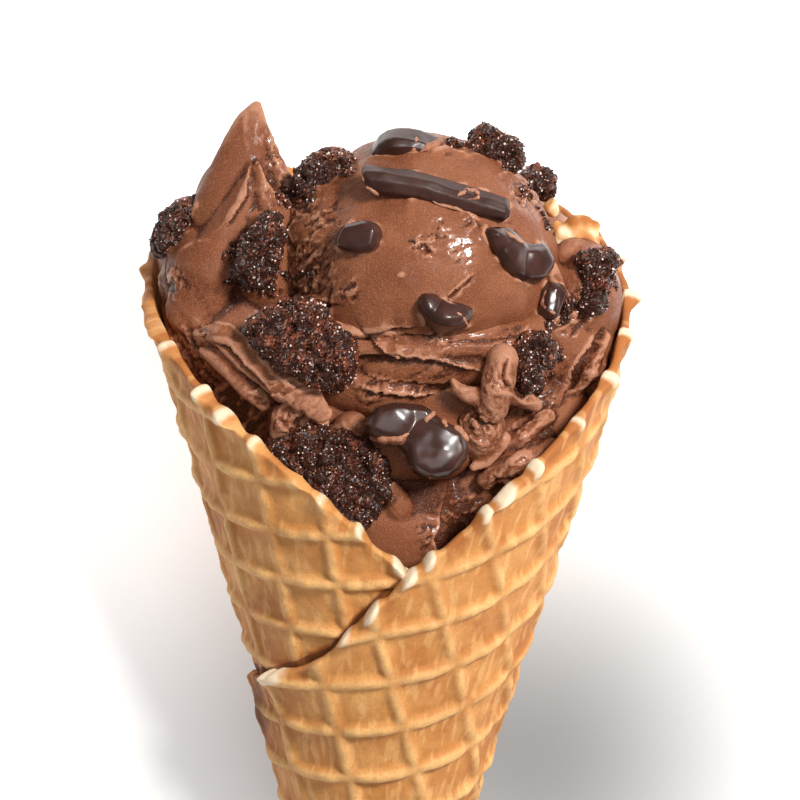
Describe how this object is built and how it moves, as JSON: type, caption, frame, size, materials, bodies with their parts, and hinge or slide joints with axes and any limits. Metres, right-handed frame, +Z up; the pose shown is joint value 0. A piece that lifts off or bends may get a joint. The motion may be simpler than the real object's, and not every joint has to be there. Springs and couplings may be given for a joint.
{
  "type": "frozen custard in a waffle cone",
  "caption": "Scoop of chocolate frozen custard with brownie pieces and dark chocolate chunks, in a rolled waffle cone with a square grid, lying on its back.",
  "frame": {"origin": "on the floor, under the middle of the whole part's box as it lies", "axes": "+Y along the lying cone towards its mouth, +Z up, out of the open front of the cone, +X to the right of the picture"},
  "size_m": [0.0956, 0.1898, 0.074],
  "materials": {
    "baked_waffle": "baked, dry, golden brown with paler high spots",
    "chocolate_custard": "frozen cream, smooth with torn patches, slightly wet sheen",
    "brownie_crumb": "dark moist crumb with bright specks",
    "dark_chocolate": "glossy broken chocolate"
  },
  "bodies": {
    "root": {"waffle_cone": "baked_waffle", "custard": "chocolate_custard", "brownie_front": "brownie_crumb", "brownie_centre": "brownie_crumb", "brownie_upper_left": "brownie_crumb", "brownie_far_left": "brownie_crumb", "brownie_inner_left": "brownie_crumb", "brownie_top": "brownie_crumb", "brownie_top_right": "brownie_crumb", "brownie_right": "brownie_crumb", "brownie_inner_right": "brownie_crumb", "chocolate_front": "dark_chocolate", "chocolate_bar": "dark_chocolate", "chocolate_dome": "dark_chocolate", "chocolate_square": "dark_chocolate", "chocolate_boomerang": "dark_chocolate", "chocolate_bead": "dark_chocolate", "chocolate_middle": "dark_chocolate"}
  },
  "joints": []
}
